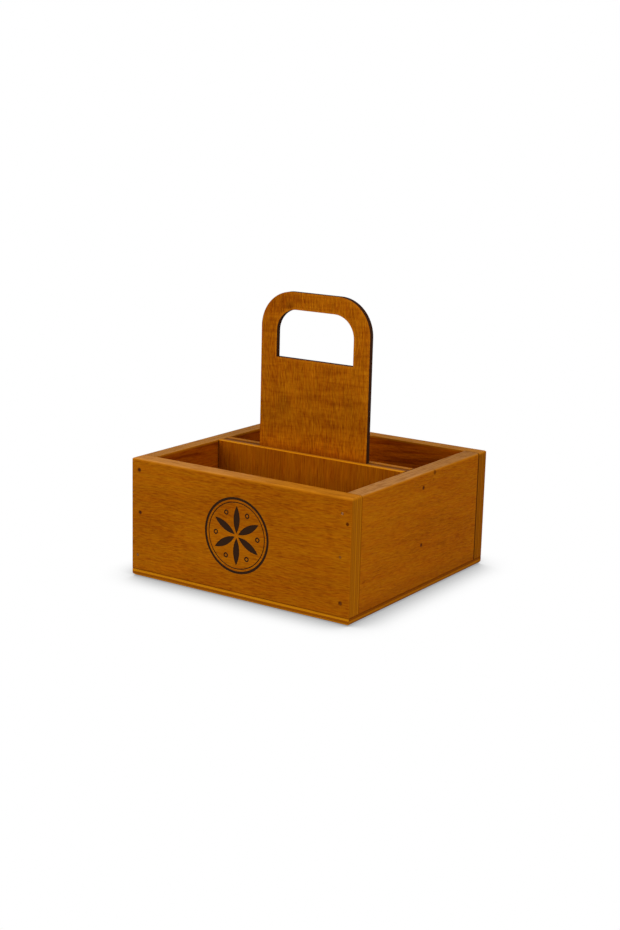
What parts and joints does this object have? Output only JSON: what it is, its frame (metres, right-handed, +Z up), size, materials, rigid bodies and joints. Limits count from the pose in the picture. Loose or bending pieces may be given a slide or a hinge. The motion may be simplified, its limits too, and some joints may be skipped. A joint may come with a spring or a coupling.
{
  "type": "condiment caddy",
  "caption": "Open two-compartment condiment caddy of nailed stained plywood, with an upright board handle with a D-shaped hand hole held in the middle divider.",
  "frame": {"origin": "middle of the underside of the base", "axes": "+X to the right along the front, front faces -Y, +Z up"},
  "size_m": [0.185, 0.185, 0.2029],
  "materials": {
    "stained_wall_plywood": "honey stain, satin",
    "stained_thin_plywood": "honey stain, satin, upright grain",
    "stained_base_plywood": "honey stain, satin, layered edge",
    "brad_steel": "dull, tarnished"
  },
  "bodies": {
    "root": {"front_panel": "stained_wall_plywood", "back_panel": "stained_wall_plywood", "left_side": "stained_wall_plywood", "right_side": "stained_wall_plywood", "base_panel": "stained_base_plywood", "divider_front_board": "stained_thin_plywood", "divider_back_board": "stained_thin_plywood", "handle_panel": "stained_thin_plywood", "front_left_brads": "brad_steel", "front_right_brads": "brad_steel", "back_left_brads": "brad_steel", "back_right_brads": "brad_steel", "divider_left_brads": "brad_steel", "divider_right_brads": "brad_steel", "base_front_brads": "brad_steel", "base_back_brads": "brad_steel", "base_left_brads": "brad_steel", "base_right_brads": "brad_steel"}
  },
  "joints": []
}
